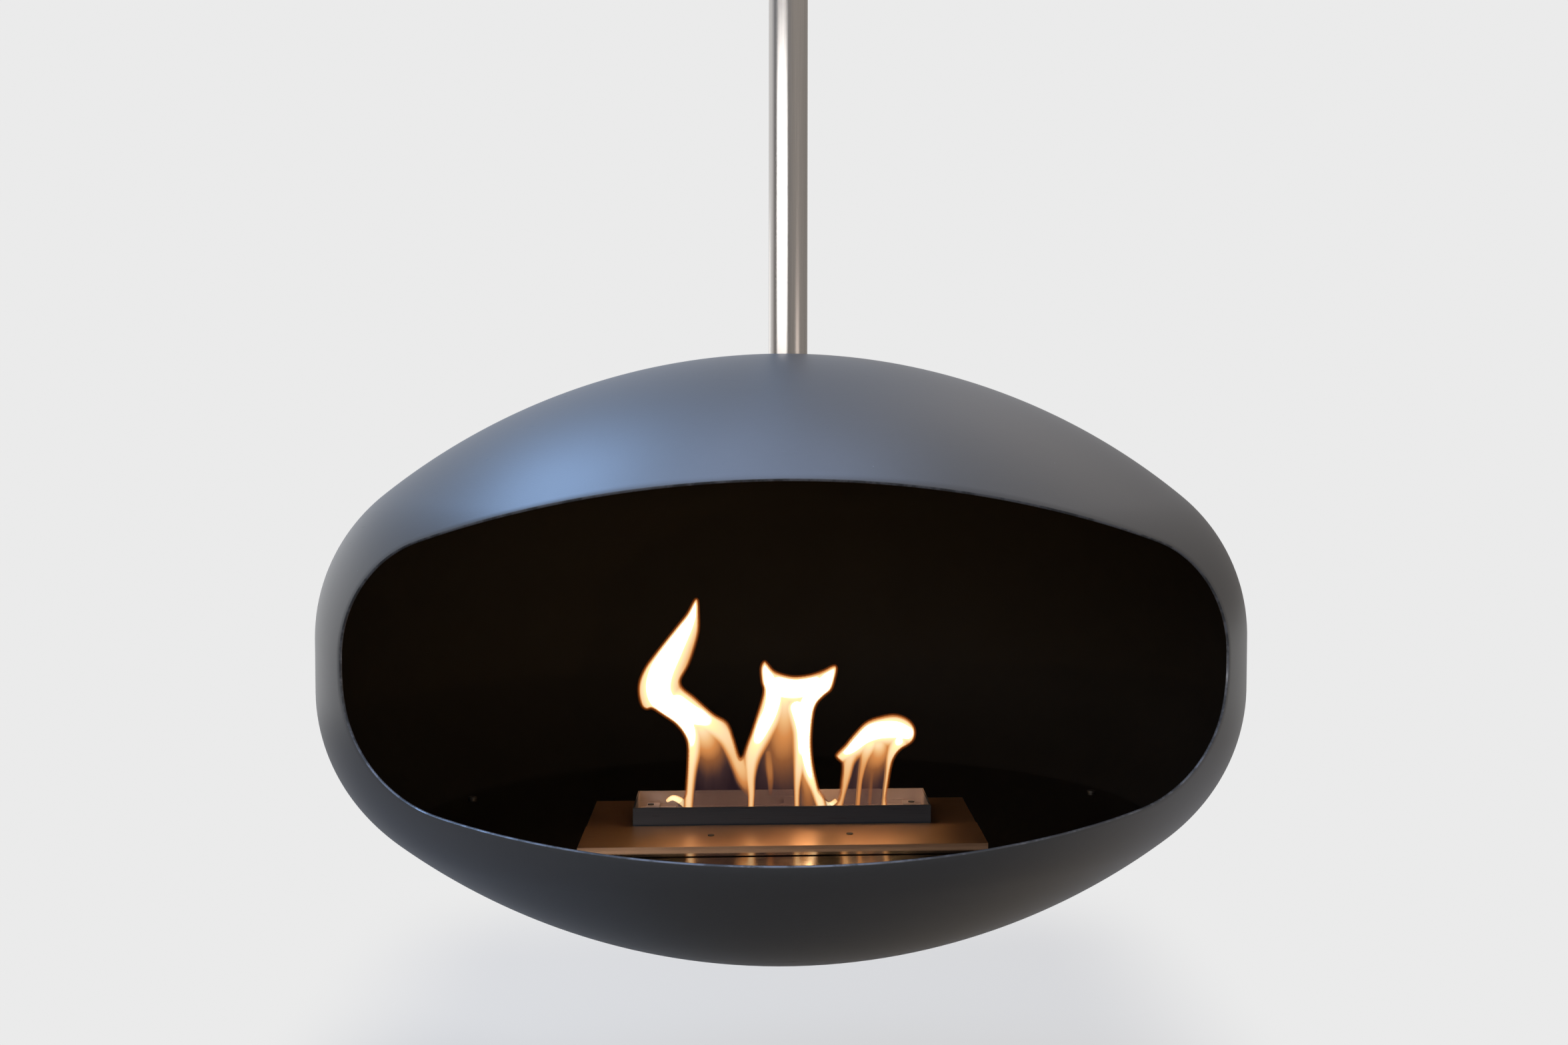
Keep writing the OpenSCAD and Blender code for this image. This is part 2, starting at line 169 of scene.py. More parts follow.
graphite = dict(dark=(0.066, 0.0655, 0.065), light=(0.088, 0.087, 0.086), flake=0.5,
                roughness=0.40, cloudRoughness=0.07, cloudScale=5.0, grainScale=85.0, grainShare=0.4,
                speckCell=55.0, speckSize=0.035, speckFrom=0.90, speckShare=0.55,
                speckColour=(0.20, 0.21, 0.23),
                scuffScale=26.0, scuffTurn=0.4, scuffStretch=(1, 1, 6), scuffFrom=(0.66, 0.74),
                scuffShare=0.10, scuffColour=(0.16, 0.17, 0.19), scuffRoughness=0.06,
                peelScale=420.0, peelDepth=0.00006, peelStrength=0.8)


# Graphite paint with metal flakes, a few light specks, faint scuffs and orange peel
def graphitePaint():
    material, f = newMaterial("graphite_paint")
    where = f.place()
    broad = f.noise(where, graphite["cloudScale"], detail=3.0)
    grain = f.noise(where, graphite["grainScale"], detail=4.0, roughness=0.65)
    cloud = (1 - graphite["grainShare"]) * broad + graphite["grainShare"] * grain
    base = f.blend(cloud, graphite["dark"], graphite["light"])
    cells = f.node("ShaderNodeTexVoronoi", None, {"Vector": where, "Scale": graphite["speckCell"]})
    chosen = f.maths("GREATER_THAN",
                     f.node("ShaderNodeSeparateColor", None, {"Color": cells.sibling("Color")}),
                     graphite["speckFrom"])
    speck = f.maths("LESS_THAN", cells, graphite["speckSize"]) * chosen
    dusty = f.blend(speck * graphite["speckShare"], base, graphite["speckColour"])
    strokes = f.noise(f.place(graphite["scuffTurn"], graphite["scuffStretch"]), graphite["scuffScale"],
                      detail=4.0, roughness=0.65)
    scuffs = f.step(strokes, *graphite["scuffFrom"])
    roughness = graphite["roughness"] + graphite["cloudRoughness"] * cloud
    f.surface(Base_Color=f.blend(scuffs * graphite["scuffShare"], dusty, graphite["scuffColour"]),
              Metallic=graphite["flake"],
              Roughness=roughness + graphite["scuffRoughness"] * scuffs,
              Normal=f.bump(f.noise(where, graphite["peelScale"]), graphite["peelDepth"],
                            graphite["peelStrength"]))
    return material


soot = dict(dark=(0.0016, 0.0013, 0.0012), light=(0.005, 0.004, 0.0036), cloudScale=14.0,
            roughness=0.62, cloudRoughness=0.2, shine=0.25,
            grainScale=300.0, grainDepth=0.0001, grainStrength=0.6)


def sootBlack():
    material, f = newMaterial("soot_black")
    cloud = f.noise(f.place(), soot["cloudScale"], detail=4.0, roughness=0.6)
    f.surface(Base_Color=f.blend(cloud, soot["dark"], soot["light"]),
              Roughness=soot["roughness"] + soot["cloudRoughness"] * cloud,
              Specular_IOR_Level=soot["shine"],
              Normal=f.bump(f.noise(f.place(), soot["grainScale"]), soot["grainDepth"],
                            soot["grainStrength"]))
    return material


# The lighter metal colour of the mouth's edge is a painted highlight
edgeGlint = dict(paint=(0.03, 0.031, 0.035), steel=(0.13, 0.135, 0.15), scale=38.0, glintFrom=(0.42, 0.60),
            metallic=0.5, roughness=0.42, polish=0.1)


# The mouth's edge: paint with lighter, shinier metal patches in places, a painted highlight for the thin
# bright line along the edge
def glintingEdge():
    material, f = newMaterial("edge_glint")
    patches = f.noise(f.place(), edgeGlint["scale"], detail=4.0, roughness=0.7)
    glint = f.step(patches, *edgeGlint["glintFrom"])
    f.surface(Base_Color=f.blend(glint, edgeGlint["paint"], edgeGlint["steel"]),
              Metallic=edgeGlint["metallic"] * glint,
              Roughness=edgeGlint["roughness"] - edgeGlint["polish"] * glint)
    return material


# Stretch is how often the strokes repeat along each of the object's axes, per metre
brushed = {
    "pole": dict(stretch=(900, 900, 6), dark=(0.47, 0.445, 0.425), light=(0.72, 0.69, 0.66),
                 roughness=0.14),
    # The plate's copper-brown colour is painted firelight: the flames' warm light on brushed steel
    "plate": dict(stretch=(8, 700, 700), dark=(0.46, 0.27, 0.165), light=(0.68, 0.43, 0.275),
                  roughness=0.24, fingermarks=0.06),
    # The burner's dark blue-grey is painted shade, the look of its front in shade; its back half is painted
    # pinkish-grey, as firelight on the trough's back wall
    "burner": dict(stretch=(10, 600, 600), dark=(0.024, 0.030, 0.040), light=(0.050, 0.059, 0.073),
                   roughness=0.22, fingermarks=0.05, metallic=0.6, firelitTint=(0.42, 0.33, 0.30)),
}
brush = dict(fineRatio=3, fineShare=0.4, strokeRoughness=0.14, depth=0.00001, strength=0.6,
             markScale=17.0, markFrom=(0.45, 0.75), firelitFrom=(0.0, 0.03))


# Steel brushed along one of the object's axes. Its back half can be tinted lighter and pinker, as painted
# firelight.
def brushedSteel(name, stretch, dark, light, roughness, fingermarks=0.0, metallic=1.0, firelitTint=None):
    material, f = newMaterial("brushed_" + name)
    fineStretch = tuple(brush["fineRatio"] * s for s in stretch)
    grain = f.noise(f.place(scale=stretch), 1.0, detail=3.0, roughness=0.7)
    fine = f.noise(f.place(scale=fineStretch), 1.0, roughness=0.6)
    prints = f.noise(f.place(), brush["markScale"], detail=4.0, roughness=0.55)
    marks = f.step(prints, *brush["markFrom"])
    strokes = (1 - brush["fineShare"]) * grain + brush["fineShare"] * fine
    colour = f.blend(strokes, dark, light)
    # Painted firelight: the back half gets the lighter, pinker tint
    if firelitTint:
        x, y, z = f.axes(f.place())
        colour = f.blend(f.step(y, *brush["firelitFrom"]), colour, firelitTint)
    f.surface(Base_Color=colour,
              Metallic=metallic,
              Roughness=roughness + brush["strokeRoughness"] * strokes + fingermarks * marks,
              Normal=f.bump(strokes, brush["depth"], brush["strength"]))
    return material


mottled = {
    "hearth_black_steel": dict(dark=(0.28, 0.24, 0.20), light=(0.34, 0.29, 0.245), metallic=1.0,
                               roughness=0.06, scale=90.0),
    "zinc_plate": dict(dark=(0.42, 0.43, 0.44), light=(0.62, 0.63, 0.64), metallic=1.0,
                       roughness=0.30, scale=120.0),
    "black_oxide": dict(dark=(0.018, 0.017, 0.016), light=(0.05, 0.048, 0.045), metallic=0.6,
                        roughness=0.38, scale=400.0),
    "sintered_bronze": dict(dark=(0.34, 0.19, 0.08), light=(0.55, 0.34, 0.15), metallic=1.0,
                            roughness=0.34, scale=300.0),
}
mottle = dict(roughness=0.15, depth=0.00005, strength=0.5,
              spotRatio=0.3, spotFrom=(0.55, 0.7), spotShare=0.35)


# Zinc-plated, blackened or cast parts: a fine mottle and darker spots
def platedMetal(name, dark, light, metallic, roughness, scale):
    material, f = newMaterial(name)
    cloud = f.noise(f.place(), scale, detail=4.0, roughness=0.6)
    blots = f.noise(f.place(), scale * mottle["spotRatio"], detail=3.0)
    spots = f.step(blots, *mottle["spotFrom"])
    f.surface(Base_Color=f.blend(spots * mottle["spotShare"], f.blend(cloud, dark, light), dark),
              Metallic=metallic,
              Roughness=roughness + mottle["roughness"] * cloud,
              Normal=f.bump(cloud, mottle["depth"], mottle["strength"]))
    return material


wool = dict(dark=(0.52, 0.50, 0.46), light=(0.82, 0.80, 0.76), scorched=(0.20, 0.16, 0.12),
            tangleScale=160.0, tangleTurn=0.3, tangleStretch=(1, 2.2, 1), tangleDepth=0.0015,
            scorchScale=22.0, scorchFrom=(0.45, 0.7), scorchShare=0.5, roughness=0.95)


def ceramicWool():
    material, f = newMaterial("ceramic_wool")
    tangle = f.noise(f.place(wool["tangleTurn"], wool["tangleStretch"]), wool["tangleScale"],
                     detail=6.0, roughness=0.75)
    scorch = f.step(f.noise(f.place(), wool["scorchScale"], detail=3.0), *wool["scorchFrom"])
    white = f.blend(tangle, wool["dark"], wool["light"])
    f.surface(Base_Color=f.blend(scorch * wool["scorchShare"], white, wool["scorched"]),
              Roughness=wool["roughness"],
              Normal=f.bump(tangle, wool["tangleDepth"]))
    return material


shellPaint = graphitePaint()
innerBlack = sootBlack()
rimGlint = glintingEdge()
brushedSteels = {name: brushedSteel(name, **look) for name, look in brushed.items()}
platedMetals = {name: platedMetal(name, **look) for name, look in mottled.items()}
finishes = {
    "shell_paint": shellPaint,
    "ceiling_paint": shellPaint,
    "pole_steel": brushedSteels["pole"],
    "plate_steel": brushedSteels["plate"],
    "burner_steel": brushedSteels["burner"],
    "hearth_steel": platedMetals["hearth_black_steel"],
    "zinc_steel": platedMetals["zinc_plate"],
    "black_screws": platedMetals["black_oxide"],
    "bronze": platedMetals["sintered_bronze"],
    "fibre": ceramicWool(),
}
for part in frame["record"]["subparts"]:
    mesh = nodes[part["node"]].data
    mesh.materials.clear()
    mesh.materials.append(finishes[part["material_slot"]])
print("materials made")


def activate(piece):
    bpy.ops.object.select_all(action="DESELECT")
    piece.select_set(True)
    bpy.context.view_layer.objects.active = piece


def namedPiece(name):
    piece = bpy.context.object
    piece.name = name
    piece.data.name = name
    return piece


def applyModifiers(piece):
    activate(piece)
    for modifier in list(piece.modifiers):
        bpy.ops.object.modifier_apply(modifier=modifier.name)


# Puts the object's place into its mesh, so that the object stands at the origin
def settle(piece):
    activate(piece)
    bpy.ops.object.transform_apply(location=True, rotation=True, scale=True)


shell = dict(band=0.054, knuckle=0.190, crown=0.681, wall=0.003, segments=288, rings=124,
             edgeBevel=0.0006, bevelSteps=2, bevelFrom=50, sharpFrom=40)
mouth = dict(width=0.872, up=0.202, down=0.137, corner=0.125, topArc=1.040, bottomArc=2.200)


# The shell's profile: half the band's height, how far out the knuckle's centre is,
# how high the crown's centre is, and the angle at which the knuckle meets the crown
def shellProfile():
    half = shell["band"] / 2
    kneeX = shellRadius - shell["knuckle"]
    crownZ = half - math.sqrt((shell["crown"] - shell["knuckle"]) ** 2 - kneeX ** 2)
    return half, kneeX, crownZ, math.atan2(half - crownZ, kneeX)


# Radius of the shell's outside at a height above its centre
def shellRadiusAt(height):
    half, kneeX, crownZ, turn = shellProfile()
    rise = abs(height)
    if rise <= half:
        return shellRadius
    if rise <= half + shell["knuckle"] * math.sin(turn):
        return kneeX + math.sqrt(shell["knuckle"] ** 2 - (rise - half) ** 2)
    return math.sqrt(max(shell["crown"] ** 2 - (rise - crownZ) ** 2, 0))


# The point of the shell's outside that lies in a direction from its centre
def onShell(direction):
    half, kneeX, crownZ, turn = shellProfile()
    flat = math.hypot(direction.x, direction.y)
    rise = abs(direction.z)
    reach = rise * crownZ + math.sqrt((rise * crownZ) ** 2 + shell["crown"] ** 2 - crownZ ** 2)
    if math.atan2(reach * rise - crownZ, reach * flat) < turn:
        along = flat * kneeX + rise * half
        reach = along + math.sqrt(along ** 2 + shell["knuckle"] ** 2 - kneeX ** 2 - half ** 2)
        if reach * rise < half:
            reach = shellRadius / flat
    return direction * reach


# Point at a share of the way round the mouth's outline, seen from the front:
# it starts at the right side and goes round by way of the top
def mouthPoint(share):
    sideX = mouth["width"] / 2 - mouth["corner"]
    topZ = mouth["up"] - mouth["topArc"]
    bottomZ = mouth["bottomArc"] - mouth["down"]
    upperZ = topZ + math.sqrt((mouth["topArc"] - mouth["corner"]) ** 2 - sideX ** 2)
    lowerZ = bottomZ - math.sqrt((mouth["bottomArc"] - mouth["corner"]) ** 2 - sideX ** 2)
    topTurn = math.atan2(upperZ - topZ, sideX)
    bottomTurn = math.atan2(bottomZ - lowerZ, sideX)
    # Centre across, centre up, radius, start and end of each arc. The straight sides
    # come after the third and the last.
    arcs = [
        (sideX, upperZ, mouth["corner"], 0, topTurn),
        (0, topZ, mouth["topArc"], topTurn, math.pi - topTurn),
        (-sideX, upperZ, mouth["corner"], math.pi - topTurn, math.pi),
        (-sideX, lowerZ, mouth["corner"], math.pi, math.pi + bottomTurn),
        (0, bottomZ, mouth["bottomArc"], math.pi + bottomTurn, 2 * math.pi - bottomTurn),
        (sideX, lowerZ, mouth["corner"], 2 * math.pi - bottomTurn, 2 * math.pi),
    ]
    side = upperZ - lowerZ
    total = sum(radius * (end - start) for x, z, radius, start, end in arcs) + 2 * side
    walked = (share * total - upperZ) % total
    for index, (x, z, radius, start, end) in enumerate(arcs):
        length = radius * (end - start)
        if walked <= length:
            angle = start + walked / radius
            return x + radius * math.cos(angle), z + radius * math.sin(angle)
        walked -= length
        if index in (2, 5):
            if walked <= side:
                if index == 2:
                    return -sideX - mouth["corner"], upperZ - walked
                return sideX + mouth["corner"], lowerZ + walked
            walked -= side
    return sideX + mouth["corner"], upperZ


# Direction of the mouth's edge from the shell's centre
def rimDirection(share):
    x, z = mouthPoint(share)
    return Vector((x, -math.sqrt(shellRadiusAt(z) ** 2 - x ** 2), z)).normalized()


# A sphere with its poles at the back and front is opened at the front, its rings are
# spread from the back to the mouth's edge, and each point is laid on the shell's profile
def makeShell():
    bpy.ops.mesh.primitive_uv_sphere_add(segments=shell["segments"], ring_count=shell["rings"],
                                         radius=shellRadius, rotation=(math.pi / 2, 0, 0))
    piece = namedPiece("shell")
    settle(piece)
    back = Vector((0, 1, 0))
    rims = [rimDirection(i / shell["segments"]) for i in range(shell["segments"])]
    turns = [back.rotation_difference(rim) for rim in rims]
    mesh = bmesh.new()
    mesh.from_mesh(piece.data)
    frontPole = min(mesh.verts, key=lambda v: v.co.y)
    bmesh.ops.delete(mesh, geom=[frontPole], context="VERTS")
    for v in mesh.verts:
        latitude = math.acos(max(-1, min(1, -v.co.y / shellRadius))) / math.pi * shell["rings"]
        share = (round(latitude) - 1) / (shell["rings"] - 1)
        roundTurn = math.atan2(v.co.z, v.co.x) / (2 * math.pi)
        column = round(roundTurn * shell["segments"]) % shell["segments"]
        turn = Quaternion().slerp(turns[column], 1 - share)
        v.co = onShell(turn @ back) + Vector((0, 0, shellCentre))
    bmesh.ops.recalc_face_normals(mesh, faces=mesh.faces)
    mesh.to_mesh(piece.data)
    mesh.free()
    wall = piece.modifiers.new("wall", "SOLIDIFY")
    wall.thickness = shell["wall"]
    wall.offset = -1
    wall.material_offset = 1
    wall.material_offset_rim = 2
    for material in (shellPaint, innerBlack, rimGlint):
        piece.data.materials.append(material)
    bevel = piece.modifiers.new("edge", "BEVEL")
    bevel.width = shell["edgeBevel"]
    bevel.segments = shell["bevelSteps"]
    bevel.angle_limit = math.radians(shell["bevelFrom"])
    applyModifiers(piece)
    bpy.ops.object.shade_smooth_by_angle(angle=math.radians(shell["sharpFrom"]))
    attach(piece, "hanger")
    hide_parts("upper_dome", "lower_bowl")


makeShell()
print("shell made")


# Outlines of the two bodies of flame, in millimetres: right of the pole's axis and
# above the burner plate
tallOutline = [
    (-114, 2), (-111, 30), (-109, 60), (-109, 84), (-115, 98), (-124, 108), (-137, 117),
    (-148, 124), (-154, 123), (-159, 127), (-162, 140), (-161, 153), (-155, 167), (-145, 181),
    (-119, 214), (-109, 227), (-102, 240), (-99, 241), (-98, 225), (-98, 208), (-102, 191),
    (-109, 171), (-117, 157), (-118, 150), (-114, 143), (-104, 135), (-83, 116), (-69, 108),
    (-64, 101), (-60, 88), (-52, 66), (-43, 85), (-35, 108), (-26, 139), (-28, 152), (-29, 166),
    (-26, 173), (-23, 171), (-16, 163), (-4, 158), (9, 156), (25, 158), (40, 163), (50, 168),
    (53, 166), (51, 155), (47, 143), (39, 136), (31, 127), (27, 113), (25, 86), (27, 60), (33, 32),
    (42, 1),
]
lowOutline = [
    (49, 1), (57, 22), (60, 44), (60, 60), (54, 68), (55, 71), (64, 80), (74, 92), (87, 105),
    (103, 111), (119, 113), (132, 108), (139, 99), (139, 89), (134, 82), (125, 77), (118, 69),
    (113, 56), (108, 24), (105, 1),
]

# Strokes of heat in a body: (right, above, half the stroke's width, heat at that place)
tallStrokes = [
    [(-109, 4, 4, 0.70), (-108, 31, 5, 0.74), (-107, 56, 7, 0.80), (-106, 79, 11, 0.90),
     (-109, 99, 16, 1), (-121, 115, 22, 1), (-139, 138, 26, 1), (-139, 160, 26, 1),
     (-125, 190, 22, 1), (-111, 216, 16, 1), (-101, 240, 9, 1)],
    [(-121, 128, 22, 1), (-106, 118, 20, 1), (-91, 112, 17, 0.95), (-78, 103, 13, 0.84),
     (-67, 91, 10, 0.74), (-59, 76, 9, 0.66), (-52, 60, 9, 0.62), (-47, 46, 9, 0.46),
     (-43, 32, 6, 0.2)],
    [(-41, 3, 2.8, 0.62), (-40, 28, 3.4, 0.66), (-41, 50, 5.5, 0.72), (-39, 72, 9, 0.82),
     (-29, 99, 13, 1), (-19, 121, 15, 1), (-16, 141, 16, 1), (-24, 160, 13, 1), (-26, 173, 8, 0.9)],
    [(40, 3, 4.5, 0.76), (32, 31, 6, 0.86), (24, 52, 8, 0.95), (20, 76, 11, 1), (19, 101, 14, 1),
     (21, 123, 18, 1), (31, 139, 20, 1), (43, 154, 14, 1), (52, 167, 9, 0.9)],
    [(10, 3, 2.4, 0.60), (10, 33, 3, 0.64), (12, 56, 5.5, 0.78), (15, 78, 9, 0.95),
     (15, 101, 11, 1), (10, 124, 14, 1)],
    [(-20, 148, 16, 1), (-6, 147, 22, 1), (10, 147, 24, 1), (29, 149, 18, 1)],
    [(-19, 28, 3, 0.14), (-19, 44, 4, 0.30), (-20, 58, 5, 0.34), (-21, 74, 5, 0.3)],
]
lowStrokes = [
    [(59, 71, 9, 0.85), (69, 80, 13, 1), (83, 92, 17, 1), (99, 98, 18, 1), (118, 99, 18, 1),
     (132, 95, 13, 1)],
    [(122, 86, 11, 0.95), (114, 70, 6, 0.78), (111, 50, 3.6, 0.70), (108, 27, 2.8, 0.64),
     (106, 3, 2.6, 0.58)],
    [(71, 82, 13, 0.9), (67, 66, 7, 0.70), (64, 48, 5, 0.60), (59, 27, 4.2, 0.56),
     (53, 3, 4.2, 0.56)],
    [(89, 86, 12, 0.9), (84, 66, 5, 0.56), (80, 46, 2.6, 0.46), (78, 27, 2.2, 0.44),
     (76, 3, 2, 0.42)],
    [(94, 68, 3, 0.32), (92, 44, 2.4, 0.24), (90, 17, 2.2, 0.22)],
]

# Dim gas in the arches, as softer strokes
tallGas = [
    [(-79, 4, 26, 0.05), (-79, 38, 26, 0.07), (-83, 60, 22, 0.16), (-86, 78, 20, 0.36),
     (-90, 92, 18, 0.62), (-94, 104, 16, 0.85)],
    [(-6, 3, 36, 0.04), (-6, 34, 32, 0.10), (-7, 58, 27, 0.20), (-5, 81, 22, 0.36),
     (-4, 103, 18, 0.52), (-4, 123, 16, 0.72), (-4, 136, 16, 0.9)],
    [(24, 7, 9, 0.24), (22, 32, 9, 0.34), (19, 56, 8, 0.52)],
]
lowGas = [
    [(83, 3, 28, 0.07), (86, 31, 25, 0.12), (92, 56, 19, 0.24), (99, 74, 14, 0.52),
     (99, 84, 12, 0.8)],
]

flame = dict(depth=0.011, roundOff=0.012, gridStep=0.001, smoothing=3, outlineSteps=5,
             fringe=0.0022, rimHeat=0.5, strokeFall=(0.3, 1.6), gasFall=(0.1, 1.7),
             strokeSamples=120, outlineSamples=20, slotY=-0.012, foot=0.0015, keep=0.005)
halos = {"glow": dict(reach=0.0009, share=0.30), "halo": dict(reach=0.0022, share=0.10)}
heatLayer = "flameHeat"
perMetre = 1000  # the outlines and strokes are in millimetres


# Smooth value between stations, each a tuple, at a share from 0 to 1
def alongStations(stations, share, closed=False):
    count = len(stations)
    spans = count if closed else count - 1
    at = min(share * spans, spans - 1e-6)
    before = int(at)
    t = at - before
    near = [before + k for k in (-1, 0, 1, 2)]
    near = [k % count if closed else max(0, min(count - 1, k)) for k in near]
    return [0.5 * (2 * b + (c - a) * t + (2 * a - 5 * b + 4 * c - d) * t * t
                   + (3 * b - a - 3 * c + d) * t ** 3)
            for a, b, c, d in zip(*[stations[k] for k in near])]


# A point given right of the axis, behind it and above the burner plate
def overPlate(x, y, z):
    return Vector((x, y, plateTop + z))


def smoothStep(value):
    t = numpy.clip(value, 0, 1)
    return t * t * (3 - 2 * t)


# How hot the strokes make each place: the hottest of them counts
def heatOf(x, z, strokes, inner, outer):
    heat = numpy.zeros(len(x))
    for stations in strokes:
        for share in numpy.linspace(0, 1, flame["strokeSamples"]):
            atX, atZ, half, hot = alongStations(stations, share)
            reach = numpy.hypot(x - atX / perMetre, z - atZ / perMetre) / (half / perMetre)
            heat = numpy.maximum(heat, hot * smoothStep((outer - reach) / (outer - inner)))
    return heat


def distanceToOutline(x, z, outline):
    nearest = numpy.full(len(x), 1.0)
    for share in numpy.linspace(0, 1, flame["outlineSamples"] * len(outline), endpoint=False):
        atX, atZ = alongStations(outline, share, closed=True)
        nearest = numpy.minimum(nearest, numpy.hypot(x - atX / perMetre, z - atZ / perMetre))
    return nearest


def paintHeat(piece, heat):
    attribute = piece.data.attributes.new(heatLayer, "FLOAT", "POINT")
    attribute.data.foreach_set("value", numpy.asarray(heat, numpy.float32))


# Coordinates of a mesh as three arrays, and back again
def readMesh(piece):
    flat = numpy.zeros(3 * len(piece.data.vertices), numpy.float32)
    piece.data.vertices.foreach_get("co", flat)
    return flat.reshape(-1, 3).T.astype(float)


def writeMesh(piece, x, y, z):
    flat = numpy.stack([x, y, z], axis=1).astype(numpy.float32).ravel()
    piece.data.vertices.foreach_set("co", flat)
    piece.data.update()


# Flames stand on the burner
def rideFlame(piece, material):
    piece.data.materials.append(material)
    piece.visible_shadow = False
    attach(piece, "burner")
    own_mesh(piece)


# A flat outline is thickened, remeshed to a fine grid and swollen, thin at its rim.
# Copies of it, a little larger, are its halos.
def makeFlame(name, outline, strokes, gas, bodyMaterial, haloMaterials):
    count = flame["outlineSteps"] * len(outline)
    bpy.ops.mesh.primitive_circle_add(vertices=count, radius=1, fill_type="NGON")
    piece = namedPiece(name)
    for i, v in enumerate(piece.data.vertices):
        x, z = alongStations(outline, i / count, closed=True)
        v.co = (x / perMetre, 0, z / perMetre)
    thick = piece.modifiers.new("thick", "SOLIDIFY")
    thick.thickness = 2 * flame["depth"]
    thick.offset = 0
    grid = piece.modifiers.new("grid", "REMESH")
    grid.mode = "VOXEL"
    grid.voxel_size = flame["gridStep"]
    applyModifiers(piece)
    x, y, z = readMesh(piece)
    edge = distanceToOutline(x, z, outline)
    swell = numpy.sqrt(1 - (1 - numpy.clip(edge / flame["roundOff"], 0, 1)) ** 2)
    y = flame["slotY"] + numpy.clip(y / flame["depth"], -1, 1) * flame["depth"] * swell
    heat = numpy.maximum(heatOf(x, z, strokes, *flame["strokeFall"]), heatOf(x, z, gas, *flame["gasFall"]))
    heat *= flame["rimHeat"] + (1 - flame["rimHeat"]) * smoothStep(edge / flame["fringe"])
    writeMesh(piece, x, y, z + plateTop)
    smooth = piece.modifiers.new("smooth", "SMOOTH")
    smooth.iterations = flame["smoothing"]
    applyModifiers(piece)
    paintHeat(piece, heat)
    bpy.ops.object.shade_smooth()
    for layer, halo in halos.items():
        activate(piece)
        bpy.ops.object.duplicate()
        copy = namedPiece(name + "_" + layer)
        push = copy.modifiers.new("push", "DISPLACE")
        push.strength = halo["reach"]
        push.mid_level = 0
        applyModifiers(copy)
        rideFlame(copy, haloMaterials[layer])
    rideFlame(piece, bodyMaterial)


# Curls of flame at the feet: (right, above, half the width, heat), in millimetres
tongues = {
    "foot_curl": [(-133, 20, 1.8, 0.6), (-126, 24, 3, 0.75), (-118, 21, 3.6, 0.7),
                  (-111, 15, 3.6, 0.6), (-107, 10, 3, 0.45)],
    "foot_link": [(35, 24, 2.6, 0.6), (40, 17, 2.8, 0.75), (47, 15, 2.6, 0.75), (54, 20, 2.6, 0.55)],
}
tongue = dict(segments=20, rings=36, lookAhead=0.01, closing=0.08, sideCooling=0.4, coolingPower=6)


# A sphere whose rings are strung along the tongue's stations
def makeTongue(name, stations, material):
    bpy.ops.mesh.primitive_uv_sphere_add(segments=tongue["segments"], ring_count=tongue["rings"], radius=1)
    piece = namedPiece(name)
    heats = []
    for v in piece.data.vertices:
        share = math.acos(max(-1, min(1, -v.co.z))) / math.pi
        angle = math.atan2(v.co.y, v.co.x)
        x, z, half, heat = alongStations(stations, share)
        ahead = alongStations(stations, min(share + tongue["lookAhead"], 1))
        behind = alongStations(stations, max(share - tongue["lookAhead"], 0))
        side = Vector((ahead[1] - behind[1], 0, behind[0] - ahead[0])).normalized()
        fromEnd = min(share / tongue["closing"], (1 - share) / tongue["closing"], 1)
        radius = half * math.sqrt(1 - (1 - fromEnd) ** 2)
        spot = Vector((x, 0, z)) + radius * (side * math.cos(angle) + Vector((0, math.sin(angle), 0)))
        v.co = overPlate(spot.x / perMetre, spot.y / perMetre + flame["slotY"], spot.z / perMetre)
        heats.append(heat * (1 - tongue["sideCooling"] * abs(math.cos(angle)) ** tongue["coolingPower"]))
    paintHeat(piece, heats)
    activate(piece)
    bpy.ops.object.shade_smooth()
    rideFlame(piece, material)


fire = dict(
    colours=[(0.0, (0.006, 0.003, 0.006)), (0.12, (0.022, 0.011, 0.011)), (0.28, (0.085, 0.034, 0.013)),
             (0.45, (0.27, 0.118, 0.037)), (0.60, (0.38, 0.24, 0.105)), (0.78, (0.46, 0.37, 0.22)),
             (1.0, (0.95, 0.58, 0.27))],
    strength=3.0, heartBoost=8.0, heartFrom=(0.92, 1.0), gasAlpha=0.30, solidFrom=(0.0, 0.40),
    wispScale=70.0, wispStretch=(1, 1, 0.25), wispShare=0.12, wispFade=(0.2, 0.5),
    haloColour=(0.55, 0.13, 0.02), haloStrength=0.8, haloFrom=(0.1, 0.5))


# A surface that only glows
def glowing(f, colour, strength, alpha):
    f.surface(Base_Color=(0, 0, 0), Roughness=1.0, Specular_IOR_Level=0.0,
              Emission_Color=colour, Emission_Strength=strength, Alpha=alpha)


# The flames light the burner and the hearth, so their hearts are brighter than they look
def flameBody():
    material, f = newMaterial("flame_body")
    heat = f.node("ShaderNodeAttribute", {"attribute_name": heatLayer}, output="Fac")
    wisps = f.noise(f.place(scale=fire["wispStretch"]), fire["wispScale"], detail=3.0, roughness=0.6)
    dim = 1 - f.step(heat, *fire["wispFade"])
    hot = heat + dim * fire["wispShare"] * (wisps - 0.5)
    glow = f.node("ShaderNodeVectorMath", {"operation": "SCALE"},
                  {0: f.ramp(hot, fire["colours"]),
                   "Scale": 1 + fire["heartBoost"] * f.step(hot, *fire["heartFrom"])})
    glowing(f, glow, fire["strength"],
            fire["gasAlpha"] + (1 - fire["gasAlpha"]) * f.step(hot, *fire["solidFrom"]))
    return material


